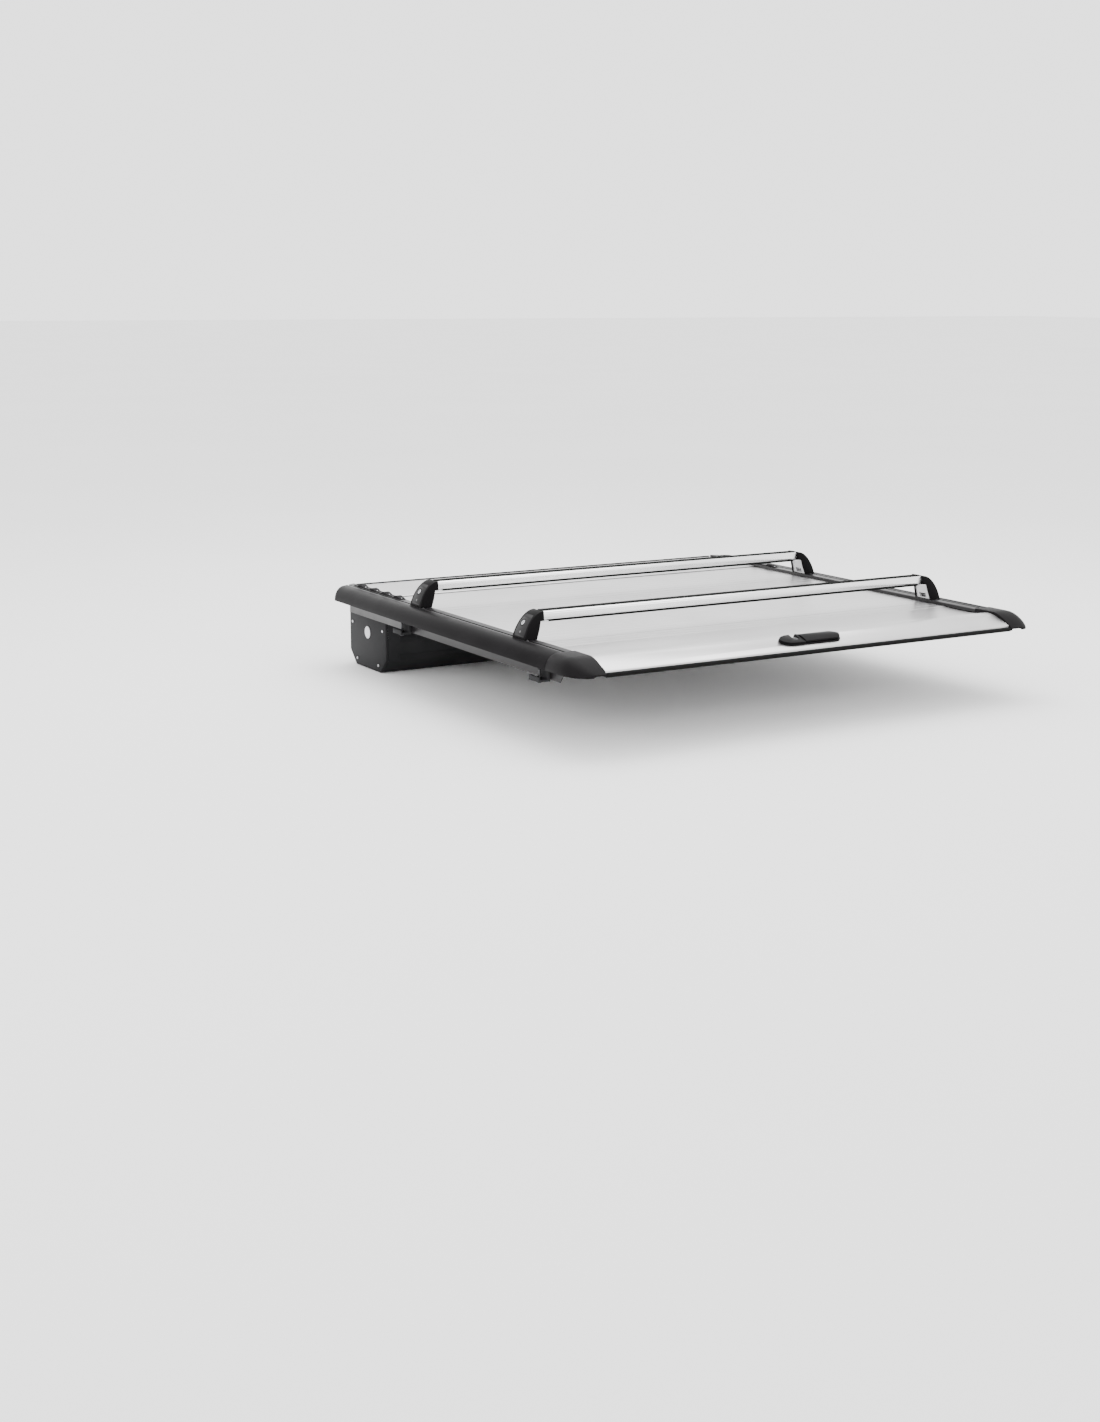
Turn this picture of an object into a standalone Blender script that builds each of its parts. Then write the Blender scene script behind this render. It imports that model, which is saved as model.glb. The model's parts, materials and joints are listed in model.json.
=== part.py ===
"""Roller tonneau cover for a pickup bed, with two crossbars on its side rails.

Metres, +Z up, +Y towards the cab. The origin is the middle of the plane of the
bed-side tops, so the rails rest on z = 0.
"""

import math

import bmesh
import bpy
from mathutils import Matrix, Vector

# Side rails: one extruded section, mirrored. Distances are from the centre line.
RAIL_INNER = 0.726
RAIL_OUTER = 0.766
RAIL_TOP = 0.043
RAIL_REAR = -0.622
RAIL_FRONT = 0.789
FRONT_CUT = 0.588  # how much further back the rail ends for each metre outwards
LIP_UNDER = 0.0330
GROOVE_FLOOR = 0.0182
GROOVE_WALL = 0.744
WALL = 0.004
FLANGE_OUT = 0.812
FLANGE_THICK = 0.003
FLANGE_DROP = -0.050
FLANGE_MITRE = 0.9  # how much further forward the rail starts for each metre below the bed side
SLOT_X = 0.755
SLOT_NECK = 0.004
SLOT_HEAD = 0.0075
SLOT_FLOOR = 0.032
SLOT_ROOF = 0.039
SLOT_SKIN = 0.0025
NUT_PLAY = 0.0015
NECK_PLAY = 0.0005

# Rail covers and end caps.
COVER_OUT = 0.823
COVER_FLAT = 0.783
COVER_SKIN = 0.003
CAP_START = -0.6223
CAP_TIP = -0.785
CAP_TOP = 0.0455
CAP_TIP_TOP = 0.0075
CAP_TIP_OUT = 0.770
CAP_FALL_START = -0.700
CAP_ROUND_START = -0.700
CAP_STATIONS = 18
ARC_STEPS = 12
GAP = 0.0003

# Curtain.
DECK_TOP = 0.0325
SLAT_UNDER = 0.0185
SLAT_HALF = 0.7425
SLAT_COUNT = 13
SLAT_SKIN = 0.0016
CURTAIN_REAR = -0.4885
LID_REAR = 0.5135
PANEL_HALF = 0.7245
PANEL_REAR = -0.7735
PANEL_SKIN = 0.0028
SLOPE_TOP = (-0.706, 0.0384)
SLOPE_FOOT = (-0.762, 0.0205)
PANEL_REAR_TOP = 0.0140

# Canister at the cab end.
LID_FRONT = 0.790
LID_UNDER = 0.0332
LID_TOP = 0.0365
CANISTER_REAR = 0.517
CANISTER_FRONT = 0.785
CANISTER_BOTTOM = -0.220
CANISTER_RIM = 0.0125
CANISTER_HALF = 0.734
SHEET = 0.002
DRUM_Y = 0.650
DRUM_Z = -0.100
DRUM_RADIUS = 0.030
AXLE_RADIUS = 0.008

# Handle on the rear slope of the end panel.
HANDLE_X = -0.010
HANDLE_Y = -0.733
PILL_HALF = 0.1065
PILL_DEPTH = 0.026
PILL_LEFT_REACH = 0.042
BASE_TOP = 0.004
LOBE_TOP = 0.0095
LOCK_X = -0.048
LOCK_DEPTH = 0.003
KEY_SLOT_HALF = 0.0098
KEY_SLOT_REAR = 0.0140
KEY_HALF = (0.0009, 0.0045)
BARREL_RADIUS = 0.0085
BARREL_TOP = 0.0072
DISH_LEFT = -0.026
DISH_RIGHT = 0.084
DISH_REAR = -0.012
DISH_FRONT = 0.020
DISH_FLOOR = -0.009
DISH_WALL = 0.0020
DISH_CLEARANCE = 0.0025
DISH_CORNER = 0.004
LEVER_LEFT = -0.028
LEVER_PIVOT_Y = -0.0205
LEVER_PIVOT_Z = 0.0076
LATCH_Y = -0.598
LATCH_Z = 0.0226
LATCH_RADIUS = 0.0025
LATCH_IN = 0.610
LATCH_OUT = 0.741
SHOE_IN = 0.690
SHOE_REAR = -0.619
SHOE_FRONT = -0.577
SHOE_TOP = 0.0262

# Crossbars and their feet.
FRONT_BAR_Y = 0.259
REAR_BAR_Y = -0.382
BAR_HALF = 0.700
BAR_WIDE = 0.045
BAR_TOP = 0.119
BAR_UNDER = 0.094
BAR_SKIN = 0.0025
BAR_ROUND = 0.009
BAR_UNDER_ROUND = 0.006
STRIP_HALF = 0.6995
STRIP_WIDE = 0.0190
STRIP_DEEP = 0.0022
STRIP_RISE = 0.0030
FOOT_BASE = 0.0433
FOOT_TOP = 0.1205
FOOT_OUT = 0.766
FOOT_ROUND = 0.725
FOOT_LONG_BASE = 0.036
FOOT_LONG_TOP = 0.028
FOOT_CHEEK = 0.003
FLANGE_TOP = 0.0475
NOTCH_HALF = 0.015
FOOT_LOCK_Y = 0.006
FOOT_LOCK_Z = 0.088
FOOT_LOCK_RADIUS = 0.0077

CLAMP_PLACES = {"rear": -0.500, "front": 0.350}
CLAMP_HALF = 0.028
SIDES = {"left": -1, "right": 1}


def material(name, colour, roughness, metallic=0.0):
    made = bpy.data.materials.new(name)
    made.use_nodes = True
    shader = made.node_tree.nodes["Principled BSDF"]
    shader.inputs["Base Color"].default_value = (*colour, 1.0)
    shader.inputs["Roughness"].default_value = roughness
    shader.inputs["Metallic"].default_value = metallic
    made.diffuse_color = (*colour, 1.0)
    return made


def object_from(name, bm, look, parent=None, location=(0, 0, 0)):
    """A named object whose mesh is given about its own origin."""
    bmesh.ops.recalc_face_normals(bm, faces=bm.faces)
    mesh = bpy.data.meshes.new(name)
    bm.to_mesh(mesh)
    bm.free()
    mesh.shade_smooth()
    mesh.set_sharp_from_angle(angle=math.radians(32))
    mesh.materials.append(look)
    made = bpy.data.objects.new(name, mesh)
    bpy.context.scene.collection.objects.link(made)
    made.parent = parent
    made.location = location
    return made


def loft(rings, closed=False):
    """A closed body through rings of points; a closed loft runs round to its start."""
    bm = bmesh.new()
    loops = [[bm.verts.new(point) for point in ring] for ring in rings]
    pairs = list(zip(loops, loops[1:]))
    if closed:
        pairs.append((loops[-1], loops[0]))
    for one, other in pairs:
        for i in range(len(one)):
            j = (i + 1) % len(one)
            bm.faces.new((one[i], one[j], other[j], other[i]))
    if not closed:
        bm.faces.new(loops[0])
        bm.faces.new(loops[-1])
    return bm


def along_x(outline, start, end):
    """Outline points are (y, z)."""
    return loft([[(x, y, z) for y, z in outline] for x in (start, end)])


def along_y(outline, start, end, side=1):
    """Outline points are (x, z); start and end may be functions of (x, z)."""
    ends = [f if callable(f) else (lambda x, z, f=f: f) for f in (start, end)]
    return loft([[(side * x, f(x, z), z) for x, z in outline] for f in ends])


def along_z(outline, start, end):
    return loft([[(x, y, z) for x, y in outline] for z in (start, end)])


def circle(radius, steps=24, centre=(0, 0)):
    x, y = centre
    angles = [2 * math.pi * i / steps for i in range(steps)]
    return [(x + radius * math.cos(a), y + radius * math.sin(a)) for a in angles]


def arc(centre, radius, start, end, steps):
    """Points on an arc, angles in degrees."""
    angles = [math.radians(start + (end - start) * i / steps) for i in range(steps + 1)]
    return [(centre[0] + radius * math.cos(a), centre[1] + radius * math.sin(a)) for a in angles]


def box(left, right, low, high):
    return [(left, low), (right, low), (right, high), (left, high)]


def rounded_box(low, high, radius, steps=4):
    """Outline of a rectangle with round corners."""
    corners = ((high, high, 0), (low, high, 90), (low, low, 180), (high, low, 270))
    outline = []
    for across, up, start in corners:
        x = across[0] + (radius if across is low else -radius)
        y = up[1] + (radius if up is low else -radius)
        outline += arc((x, y), radius, start, start + 90, steps)
    return outline


def inset(outline, thickness):
    """The outline of a wall's inside, for an outline that runs anticlockwise."""
    count = len(outline)
    made = []
    for i, (x, y) in enumerate(outline):
        before = Vector(outline[i - 1])
        here = Vector((x, y))
        after = Vector(outline[(i + 1) % count])
        one = (here - before).normalized()
        two = (after - here).normalized()
        normal = Vector((-one.y - two.y, one.x + two.x)).normalized()
        lean = max(normal.dot(Vector((-one.y, one.x))), 0.5)
        made.append(tuple(here + normal * thickness / lean))
    return made


def blend(a, b, c, d, t):
    """The Catmull-Rom value a share t of the way from b to c."""
    linear = (c - a) * t
    squared = (2 * a - 5 * b + 4 * c - d) * t**2
    cubed = (3 * b - a - 3 * c + d) * t**3
    return 0.5 * (2 * b + linear + squared + cubed)


def smooth_line(points, steps):
    """A curve through the points."""
    padded = [points[0], *points, points[-1]]
    made = []
    for near in zip(padded, padded[1:], padded[2:], padded[3:]):
        for step in range(steps):
            made.append(tuple(blend(*values, step / steps) for values in zip(*near)))
    return made + [points[-1]]


def boolean(target, cutter, operation="DIFFERENCE"):
    cutter.hide_render = True
    cutter.display_type = "WIRE"
    step = target.modifiers.new(f"{operation.title()} {cutter.name}", "BOOLEAN")
    step.operation = operation
    step.solver = "EXACT"
    step.object = cutter
    return target


def revolved(profile, steps, axis_matrix):
    """A closed (radius, height) profile turned round a full circle."""
    rings = []
    for i in range(steps):
        angle = 2 * math.pi * i / steps
        ring = [Vector((r * math.cos(angle), r * math.sin(angle), h)) for r, h in profile]
        rings.append([axis_matrix @ point for point in ring])
    return loft(rings, closed=True)


def rail_rear(x, z):
    return RAIL_REAR + FLANGE_MITRE * max(0.0, -z)


def rail_front(x, z):
    return RAIL_FRONT - FRONT_CUT * (x - RAIL_INNER)


def side_rails(black):
    """The extrusion: slat groove inside, T-slot on top, bed flange and drop flange below."""
    head = SLOT_X - SLOT_HEAD, SLOT_X + SLOT_HEAD
    neck = SLOT_X - SLOT_NECK, SLOT_X + SLOT_NECK
    outer_wall = GROOVE_WALL + WALL
    section = [
        (RAIL_INNER, LIP_UNDER),
        (GROOVE_WALL, LIP_UNDER),
        (GROOVE_WALL, GROOVE_FLOOR),
        (RAIL_INNER + 0.002, GROOVE_FLOOR),
        (RAIL_INNER + 0.002, GROOVE_FLOOR - WALL),
        (GROOVE_WALL, GROOVE_FLOOR - WALL),
        (GROOVE_WALL, FLANGE_DROP),
        (outer_wall, FLANGE_DROP),
        (outer_wall, 0.0),
        (FLANGE_OUT, 0.0),
        (FLANGE_OUT, FLANGE_THICK),
        (outer_wall, FLANGE_THICK),
        (outer_wall, SLOT_FLOOR - SLOT_SKIN),
        (RAIL_OUTER, SLOT_FLOOR - SLOT_SKIN),
        (RAIL_OUTER, RAIL_TOP),
        (neck[1], RAIL_TOP),
        (neck[1], SLOT_ROOF),
        (head[1], SLOT_ROOF),
        (head[1], SLOT_FLOOR),
        (head[0], SLOT_FLOOR),
        (head[0], SLOT_ROOF),
        (neck[0], SLOT_ROOF),
        (neck[0], RAIL_TOP),
        (RAIL_INNER + 0.0012, RAIL_TOP),
        (RAIL_INNER, RAIL_TOP - 0.0012),
    ]
    for name, side in SIDES.items():
        bm = along_y(section, rail_rear, rail_front, side)
        object_from(f"{name}_side_rail", bm, black)


def rail_covers(black):
    """The curved outer shell that clips over each rail."""
    inner = RAIL_OUTER + GAP
    bulge = [(COVER_FLAT, RAIL_TOP)]
    reach, drop = COVER_OUT - COVER_FLAT, RAIL_TOP - 0.004
    for i in range(1, ARC_STEPS + 1):
        angle = math.radians(90 - 90 * i / ARC_STEPS)
        bulge.append((COVER_FLAT + reach * math.cos(angle), 0.004 + drop * math.sin(angle)))
    inside = [(COVER_FLAT, RAIL_TOP - COVER_SKIN)]
    for i in range(1, ARC_STEPS + 1):
        angle = math.radians(90 - 90 * i / ARC_STEPS)
        across = (reach - COVER_SKIN) * math.cos(angle)
        inside.append((COVER_FLAT + across, 0.004 + (drop - COVER_SKIN) * math.sin(angle)))
    section = [
        (inner, 0.022),
        (inner, RAIL_TOP),
        *bulge,
        (COVER_OUT, 0.0),
        (COVER_OUT - COVER_SKIN, 0.0),
        *reversed(inside),
        (inner + COVER_SKIN, RAIL_TOP - COVER_SKIN),
        (inner + COVER_SKIN, 0.022),
    ]
    for name, side in SIDES.items():
        bm = along_y(section, RAIL_REAR, rail_front, side)
        object_from(f"{name}_rail_cover", bm, black)


def cap_ring(y, side):
    """The end cap's hollow section where it has come down and in towards its tip."""
    fall = max(0.0, (CAP_FALL_START - y) / (CAP_FALL_START - CAP_TIP))
    height = CAP_TOP - (CAP_TOP - CAP_TIP_TOP) * fall**1.6
    turn = min(1.0, max(0.0, (CAP_ROUND_START - y) / (CAP_ROUND_START - CAP_TIP)))
    outer = CAP_TIP_OUT + (COVER_OUT - CAP_TIP_OUT) * math.sqrt(1 - turn**2)
    skin = min(COVER_SKIN, 0.4 * height)
    inner = RAIL_INNER + 0.0005
    flat = inner + 0.57 * (outer - inner)

    def arch(inside):
        top = height - (skin if inside else 0.0)
        out = outer - (COVER_SKIN if inside else 0.0)
        near = inner + (COVER_SKIN if inside else 0.0)
        points = [(near, 0.0), (near, 0.85 * top), (near + 0.0012, top), (flat, top)]
        for i in range(1, ARC_STEPS - 1):
            angle = math.radians(90 - 90 * i / (ARC_STEPS - 2))
            points.append((flat + (out - flat) * math.cos(angle), top * math.sin(angle)))
        return points

    outline = arch(False) + arch(True)[::-1]
    return [(side * x, y, z) for x, z in outline]


def end_caps(black):
    """Stations crowd towards the tip, where the cap rounds off."""
    length = CAP_TIP - CAP_START
    turns = [math.pi / 2 * i / CAP_STATIONS for i in range(CAP_STATIONS + 1)]
    for name, side in SIDES.items():
        rings = [cap_ring(CAP_START + length * math.sin(turn), side) for turn in turns]
        object_from(f"{name}_end_cap", loft(rings), black)


def scallop_trims(black):
    """The strip over the lid's screws, with four rounded teeth along its top."""
    foot = RAIL_TOP + GAP
    outline = [(0.400, foot), (0.742, foot), (0.742, foot + 0.0025)]
    for tooth in range(4):
        peak = 0.697 - 0.088 * tooth
        outline += [(peak + 0.018, foot + 0.0025), (peak + 0.008, foot + 0.0078)]
        outline += [(peak, foot + 0.0088), (peak - 0.012, foot + 0.0070), (peak - 0.026, foot + 0.0025)]
    outline.append((0.400, foot + 0.0010))
    for name, side in SIDES.items():
        bm = along_x(outline, side * (RAIL_INNER + 0.0015), side * (RAIL_INNER + 0.0215))
        object_from(f"{name}_scallop_trim", bm, black)


def slats(silver):
    """Open-bottomed boards that hook together; their ends run in the rail grooves."""
    pitch = (LID_REAR - GAP - CURTAIN_REAR) / SLAT_COUNT
    rib = 0.0016
    for i in range(SLAT_COUNT):
        rear = CURTAIN_REAR + pitch * i + GAP
        front = rear + pitch - GAP
        bead = front - 0.006
        outline = [
            (rear, SLAT_UNDER),
            (rear + rib, SLAT_UNDER),
            (rear + rib, DECK_TOP - SLAT_SKIN),
            (bead, DECK_TOP - SLAT_SKIN),
            (bead, SLAT_UNDER),
            (bead + rib, SLAT_UNDER),
            (bead + rib, DECK_TOP - SLAT_SKIN),
            (front, DECK_TOP - SLAT_SKIN),
            (front, DECK_TOP - 0.0008),
            (front - 0.0008, DECK_TOP),
            (rear + 0.0008, DECK_TOP),
            (rear, DECK_TOP - 0.0008),
        ]
        bm = along_x(outline, -SLAT_HALF, SLAT_HALF)
        object_from(f"slat_{i + 1:02d}", bm, silver)


def panel_line():
    """The end panel's top: a shallow groove, a crest, a straight fall, then the rounded rear edge."""
    rise = smooth_line([
        (CURTAIN_REAR, DECK_TOP - 0.0003),
        (-0.522, 0.0306),
        (-0.590, 0.0302),
        (-0.632, 0.0324),
        (-0.661, 0.0378),
        (-0.684, 0.0403),
        SLOPE_TOP,
    ], 3)
    return rise + [SLOPE_FOOT, (PANEL_REAR, PANEL_REAR_TOP)]


def slope_place():
    """Height and tilt of the straight fall at the handle's middle."""
    (y1, z1), (y2, z2) = SLOPE_TOP, SLOPE_FOOT
    tilt = math.atan2(z2 - z1, y2 - y1) - math.pi
    height = z1 + (z2 - z1) * (HANDLE_Y - y1) / (y2 - y1)
    return height, tilt


def end_panel(silver, rubber):
    top = panel_line()
    inside = [(y, z - PANEL_SKIN) for y, z in top[1:-1]]
    rear = PANEL_REAR + PANEL_SKIN
    outline = [
        *top,
        (PANEL_REAR, -0.0010),
        (rear, -0.0010),
        (rear, PANEL_REAR_TOP - PANEL_SKIN + 0.0009),
        *inside[::-1],
        (CURTAIN_REAR - PANEL_SKIN, DECK_TOP - 0.0045),
        (CURTAIN_REAR - PANEL_SKIN, SLAT_UNDER),
        (CURTAIN_REAR, SLAT_UNDER),
    ]
    panel = object_from("end_panel", along_x(outline, -PANEL_HALF, PANEL_HALF), silver)
    front = PANEL_REAR - GAP
    bulb = arc((front - 0.0056, 0.0030), 0.0056, 90, 270, 8)
    seal = [(front, -0.0035), (front, 0.0092), (front - 0.0040, 0.0092), *bulb[1:]]
    object_from("panel_seal", along_x(seal, -PANEL_HALF, PANEL_HALF), rubber)
    return panel


def pill(half, depth, left_reach, steps=12):
    """A long rounded outline whose left end is drawn out into a half ellipse."""
    left = []
    for i in range(steps + 1):
        angle = math.radians(90 + 180 * i / steps)
        left.append((left_reach - half + left_reach * math.cos(angle), depth * math.sin(angle)))
    return arc((half - depth, 0), depth, -90, 90, steps) + left


def handle(panel, gloss, satin):
    """Pull handle: a dished base through the panel, a lock housing, a lever and a lock."""
    height, tilt = slope_place()
    frame = bpy.data.objects.new("handle_frame", None)
    bpy.context.scene.collection.objects.link(frame)
    frame.location = (HANDLE_X, HANDLE_Y, height)
    frame.rotation_euler = (tilt, 0, 0)

    def dish_box(grow):
        return (DISH_LEFT - grow, DISH_REAR - grow), (DISH_RIGHT + grow, DISH_FRONT + grow)

    def tray(name, grow, floor, top):
        outline = rounded_box(*dish_box(grow), DISH_CORNER)
        return object_from(name, along_z(outline, floor, top), satin, frame)

    (left, rear), (right, front) = dish_box(DISH_CLEARANCE)
    window = along_z(box(left, right, rear, front), -0.016, 0.010)
    boolean(panel, object_from("panel_window_cutter", window, satin, frame))

    plate = along_z(pill(PILL_HALF, PILL_DEPTH, PILL_LEFT_REACH), GAP, BASE_TOP)
    base = object_from("handle_base", plate, satin, frame)
    boolean(base, tray("dish_wall_cutter", DISH_WALL, DISH_FLOOR - DISH_WALL, DISH_WALL), "UNION")
    boolean(base, tray("dish_hollow_cutter", 0.0, DISH_FLOOR, 0.010))

    # The housing is the pill's left end, with a slot open to the front for the key.
    slot = KEY_SLOT_HALF
    entry = along_z(box(-slot, slot, KEY_SLOT_REAR, PILL_DEPTH + 0.004), -0.002, BASE_TOP + 0.002)
    boolean(base, object_from("key_entry_cutter", entry, satin, frame, (LOCK_X, 0, 0)))
    edge = 0.0010
    depth = PILL_DEPTH - edge
    outline = pill(PILL_HALF - edge, depth, PILL_LEFT_REACH - edge)
    right = LEVER_LEFT - 0.0015
    lobe = outline[len(outline) // 2:]
    lobe += [(right, -depth), (right, depth), (LOCK_X + slot, depth)]
    lobe += arc((LOCK_X, LOCK_DEPTH), slot, 0, -180, 10)
    lobe += [(LOCK_X - slot, depth)]
    object_from("lock_housing", along_z(lobe, BASE_TOP + GAP, LOBE_TOP), gloss, frame)
    place = (LOCK_X, LOCK_DEPTH, 0)
    barrel = along_z(circle(BARREL_RADIUS), BASE_TOP + GAP, BARREL_TOP)
    keyed = object_from("handle_lock", barrel, satin, frame, place)
    across, along = KEY_HALF
    key = along_z(box(-across, across, -along, along), BARREL_TOP - 0.0020, BARREL_TOP + 0.0028)
    boolean(keyed, object_from("key_slot_cutter", key, satin, frame, place))

    # The lever turns about its rear edge, so its section is round there.
    pivot = (LEVER_PIVOT_Y, LEVER_PIVOT_Z)
    rings = []
    straight = PILL_HALF - PILL_DEPTH
    places = [LEVER_LEFT, 0.0, 0.030, straight]
    places += [straight + depth * math.sin(math.radians(a)) for a in (20, 38, 54, 67)]
    rear = 0.0031
    for x in places:
        reach = math.sqrt(depth**2 - max(0.0, x - straight) ** 2)
        share = reach / depth
        section = [(y - pivot[0], z - pivot[1]) for y, z in (
            *arc((-reach + 0.0045 + rear * (1 - share), pivot[1]), rear, 270, 90, 6),
            (-0.35 * reach, 0.0122),
            (0.10 * reach, 0.0126),
            (0.60 * reach, 0.0112),
            (0.93 * reach, 0.0084),
            (reach, 0.0068),
            (reach - 0.0012, 0.0050),
            (0.80 * reach, 0.0062),
            (0.10 * reach, 0.0085),
            (-0.45 * reach, 0.0070),
        )]
        rings.append([(x, y, z) for y, z in section])
    object_from("handle_lever", loft(rings), gloss, frame, (0, *pivot))


def latches(steel, plastic):
    """Guide shoes under the panel and the two bolts that the handle draws in."""
    for name, side in SIDES.items():
        shoe = box(SHOE_REAR, SHOE_FRONT, SLAT_UNDER + 0.0001, SHOE_TOP)
        block = object_from(f"{name}_guide_shoe", along_x(shoe, side * SHOE_IN, side * SLAT_HALF), plastic)
        hole = circle(LATCH_RADIUS + 0.0001, 20, (LATCH_Y, LATCH_Z))
        bore = along_x(hole, side * 0.680, side * 0.750)
        boolean(block, object_from(f"{name}_bolt_bore_cutter", bore, plastic))
        bolt = along_x(circle(LATCH_RADIUS, 20), side * LATCH_IN, side * LATCH_OUT)
        object_from(f"{name}_latch_bolt", bolt, steel, None, (0, LATCH_Y, LATCH_Z))


def canister(silver, black, rubber, steel):
    lid = [
        (LID_REAR, LID_UNDER),
        (LID_FRONT, LID_UNDER),
        (LID_FRONT, LID_TOP - 0.0010),
        (LID_FRONT - 0.0010, LID_TOP),
        (LID_REAR + 0.0012, LID_TOP),
        (LID_REAR, LID_TOP - 0.0012),
    ]
    lid_half = RAIL_INNER - GAP
    object_from("canister_lid", along_x(lid, -lid_half, lid_half), silver)
    nose = [(LID_FRONT + GAP, LID_UNDER), (LID_FRONT + 0.0070, LID_UNDER)]
    nose += arc((LID_FRONT + 0.0070, LID_UNDER + 0.0030), 0.0030, -90, 90, 6)[1:]
    nose += [(LID_FRONT + GAP, LID_UNDER + 0.0060)]
    object_from("bulkhead_seal", along_x(nose, -PANEL_HALF, PANEL_HALF), rubber)

    slope = 0.045
    outside = [
        (CANISTER_REAR, CANISTER_RIM),
        (CANISTER_REAR, CANISTER_BOTTOM + slope),
        (CANISTER_REAR + slope, CANISTER_BOTTOM),
        (CANISTER_FRONT - slope, CANISTER_BOTTOM),
        (CANISTER_FRONT, CANISTER_BOTTOM + slope),
        (CANISTER_FRONT, CANISTER_RIM),
    ]
    turn = SHEET * math.tan(math.radians(22.5))
    inside = [
        (CANISTER_REAR + SHEET, CANISTER_RIM),
        (CANISTER_REAR + SHEET, CANISTER_BOTTOM + slope + turn),
        (CANISTER_REAR + slope + turn, CANISTER_BOTTOM + SHEET),
        (CANISTER_FRONT - slope - turn, CANISTER_BOTTOM + SHEET),
        (CANISTER_FRONT - SHEET, CANISTER_BOTTOM + slope + turn),
        (CANISTER_FRONT - SHEET, CANISTER_RIM),
    ]
    trough = along_x(outside + inside[::-1], -CANISTER_HALF, CANISTER_HALF)
    object_from("canister_body", trough, black)
    for name, side in SIDES.items():
        plate = along_x(outside, side * (CANISTER_HALF + GAP), side * (GROOVE_WALL - GAP))
        object_from(f"{name}_canister_end", plate, black)

    axle = along_x(circle(AXLE_RADIUS), -CANISTER_HALF, CANISTER_HALF)
    object_from("drum_axle", axle, steel, None, (0, DRUM_Y, DRUM_Z))
    half, plug, bore = CANISTER_HALF - 0.0012, 0.012, AXLE_RADIUS + 0.0001
    wall = DRUM_RADIUS - 0.002
    profile = [
        (bore, -half),
        (DRUM_RADIUS, -half),
        (DRUM_RADIUS, half),
        (bore, half),
        (bore, half - plug),
        (wall, half - plug),
        (wall, plug - half),
        (bore, plug - half),
    ]
    tube = revolved(profile, 24, Matrix.Rotation(math.radians(90), 3, "Y"))
    object_from("drum_tube", tube, silver, None, (0, DRUM_Y, DRUM_Z))


def rail_clamps(plastic):
    """Hooks that pull each drop flange against the bed side's inner lip."""
    near = GROOVE_WALL + WALL + GAP
    hook = [
        (near, -0.0550),
        (near + 0.0380, -0.0550),
        (near + 0.0380, -0.0400),
        (near + 0.0320, -0.0400),
        (near + 0.0320, -0.0480),
        (near + 0.0080, -0.0480),
        (near + 0.0080, -0.0060),
        (near, -0.0060),
    ]
    for name, side in SIDES.items():
        for end, y in CLAMP_PLACES.items():
            clamp = along_y(hook, -CLAMP_HALF, CLAMP_HALF, side)
            object_from(f"{end}_{name}_clamp", clamp, plastic, None, (0, y, 0))


def foot_face(z):
    """How far out the foot's rounded outer face stands at a height."""
    rise = (z - FOOT_BASE) / (FOOT_TOP - FOOT_BASE)
    return BAR_HALF + (FOOT_OUT - BAR_HALF) * math.sqrt(1 - rise ** (1 / FOOT_ROUND))


def foot_curve(steps):
    """The foot's outer face, from its base up to its top, as (x, z)."""
    made = []
    for i in range(steps):
        height = FOOT_BASE + (FOOT_TOP - FOOT_BASE) * math.sin(math.pi / 2 * i / steps)
        made.append((foot_face(height), height))
    return made + [(BAR_HALF + GAP, FOOT_TOP)]


def foot_reach(x, z):
    share = (z - FOOT_BASE) / (FOOT_TOP - FOOT_BASE)
    return FOOT_LONG_BASE + (FOOT_LONG_TOP - FOOT_LONG_BASE) * share


def foot_rear(x, z):
    return -foot_reach(x, z)


def crossbar(end, y, silver, black, rubber, steel):
    bar_frame = bpy.data.objects.new(f"{end}_bar_frame", None)
    bpy.context.scene.collection.objects.link(bar_frame)
    bar_frame.location = (0, y, 0)

    half = BAR_WIDE / 2
    groove, depth = STRIP_WIDE / 2, STRIP_DEEP
    under_round = BAR_UNDER_ROUND
    outline = [
        *arc((-half + BAR_ROUND, BAR_TOP - BAR_ROUND), BAR_ROUND, 180, 90, 5),
        (-groove, BAR_TOP),
        (-groove, BAR_TOP - depth),
        (groove, BAR_TOP - depth),
        (groove, BAR_TOP),
        *arc((half - BAR_ROUND, BAR_TOP - BAR_ROUND), BAR_ROUND, 90, 0, 5),
        *arc((half - under_round, BAR_UNDER + under_round), under_round, 0, -90, 4),
        *arc((-half + under_round, BAR_UNDER + under_round), under_round, 270, 180, 4),
    ][::-1]
    hollow = inset(outline, BAR_SKIN)
    rings = []
    for loop, places in ((outline, (-BAR_HALF, BAR_HALF)), (hollow, (BAR_HALF, -BAR_HALF))):
        rings += [[(x, across, z) for across, z in loop] for x in places]
    object_from(f"{end}_crossbar", loft(rings, closed=True), silver, bar_frame)

    low = BAR_TOP - depth + GAP
    edge = groove - GAP
    strip = [(-edge, low), (edge, low), (edge, BAR_TOP + 0.0012), (edge - 0.0015, BAR_TOP + STRIP_RISE),
             (0.0015 - edge, BAR_TOP + STRIP_RISE), (-edge, BAR_TOP + 0.0012)]
    object_from(f"{end}_bar_strip", along_x(strip, -STRIP_HALF, STRIP_HALF), rubber, bar_frame)
    for name, side in SIDES.items():
        foot(f"{end}_{name}", side, bar_frame, silver, black, steel)


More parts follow.
